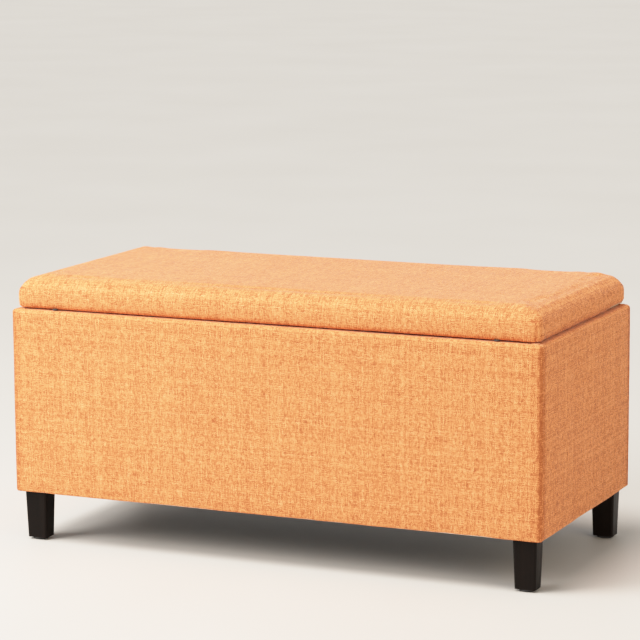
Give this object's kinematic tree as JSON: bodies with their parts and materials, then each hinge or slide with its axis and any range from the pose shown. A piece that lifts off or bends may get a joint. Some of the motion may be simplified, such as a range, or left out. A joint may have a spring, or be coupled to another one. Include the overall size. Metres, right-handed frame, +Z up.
{
  "type": "storage bench",
  "caption": "Upholstered rectangular storage bench with a padded lift-up lid on rear hinges and gas struts, on short tapered square legs.",
  "frame": {"origin": "on the floor under the middle of the bench", "axes": "+Z up, the front faces -Y, +X along the bench's length to the right seen from the front"},
  "size_m": [0.96, 0.4502, 0.46],
  "materials": {
    "cover_fabric": "slub-weave orange linen-look upholstery cloth, matte",
    "lining_cloth": "black non-woven lining cloth",
    "padding": "cream upholstery foam and wadding",
    "board": "plain unfinished board",
    "rail_wood": "planed softwood",
    "leg_wood": "near-black stained hardwood, satin lacquer",
    "glide_plastic": "dark moulded nail-on glide",
    "zinc_steel": "zinc-plated steel",
    "chrome_rod": "hard-chromed rod",
    "black_steel": "satin black painted steel tube",
    "black_plastic": "black moulded plastic",
    "rubber": "grey soft rubber"
  },
  "bodies": {
    "box": {"front_cover": "cover_fabric", "back_cover": "cover_fabric", "left_cover": "cover_fabric", "right_cover": "cover_fabric", "box_lining": "lining_cloth", "dust_cover": "lining_cloth", "front_padding": "padding", "back_padding": "padding", "left_padding": "padding", "right_padding": "padding", "front_panel": "board", "back_panel": "board", "left_panel": "board", "right_panel": "board", "base_board": "board", "front_rail": "rail_wood", "back_rail": "rail_wood", "left_rail": "rail_wood", "right_rail": "rail_wood", "centre_rail": "rail_wood", "corner_blocks": "rail_wood", "front_left_leg": "leg_wood", "front_right_leg": "leg_wood", "rear_left_leg": "leg_wood", "rear_right_leg": "leg_wood", "leg_glides": "glide_plastic", "box_hinge_screws": "zinc_steel", "box_bracket_screws": "zinc_steel", "frame_screws": "zinc_steel", "leg_bolts": "zinc_steel", "leg_tee_nuts": "zinc_steel", "hinge_pins": "zinc_steel", "right_hinge_box_leaf": "zinc_steel", "left_hinge_box_leaf": "zinc_steel", "right_strut_box_bracket": "zinc_steel", "left_strut_box_bracket": "zinc_steel"},
    "lid": {"lid_cover": "cover_fabric", "lid_lining": "lining_cloth", "lid_foam": "padding", "lid_board": "board", "lid_hinge_screws": "zinc_steel", "lid_bracket_screws": "zinc_steel", "right_hinge_lid_leaf": "zinc_steel", "left_hinge_lid_leaf": "zinc_steel", "right_strut_lid_bracket": "zinc_steel", "left_strut_lid_bracket": "zinc_steel", "lid_bumpers": "rubber"},
    "left_cylinder": {"left_strut_cylinder": "black_steel", "left_strut_foot_socket": "black_plastic", "left_strut_gland_ring": "black_plastic"},
    "left_rod": {"left_strut_piston_rod": "chrome_rod", "left_strut_head_socket": "black_plastic"},
    "right_cylinder": {"right_strut_cylinder": "black_steel", "right_strut_foot_socket": "black_plastic", "right_strut_gland_ring": "black_plastic"},
    "right_rod": {"right_strut_piston_rod": "chrome_rod", "right_strut_head_socket": "black_plastic"}
  },
  "joints": [
    {"name": "lid_hinge", "type": "hinge", "parent": "box", "child": "lid", "pos_m": [0, 0.224, 0.4055], "axis": [-1, 0, 0], "range_deg": [0, 80]},
    {"name": "left_cylinder_swing", "type": "hinge", "parent": "box", "child": "left_cylinder", "pos_m": [-0.442, 0.18584, 0.20917], "axis": [-1, 0, 0], "range_deg": [0, 40]},
    {"name": "left_rod_swing", "type": "hinge", "parent": "lid", "child": "left_rod", "pos_m": [-0.442, 0.02449, 0.39155], "axis": [-1, 0, 0], "range_deg": [-40, 0]},
    {"name": "right_cylinder_swing", "type": "hinge", "parent": "box", "child": "right_cylinder", "pos_m": [0.442, 0.18584, 0.20917], "axis": [-1, 0, 0], "range_deg": [0, 40]},
    {"name": "right_rod_swing", "type": "hinge", "parent": "lid", "child": "right_rod", "pos_m": [0.442, 0.02449, 0.39155], "axis": [-1, 0, 0], "range_deg": [-40, 0]}
  ],
  "couplings": [
    {"joint": "left_cylinder_swing", "follows": "lid_hinge", "ratio": 0.5},
    {"joint": "left_rod_swing", "follows": "lid_hinge", "ratio": -0.5},
    {"joint": "right_cylinder_swing", "follows": "lid_hinge", "ratio": 0.5},
    {"joint": "right_rod_swing", "follows": "lid_hinge", "ratio": -0.5}
  ]
}
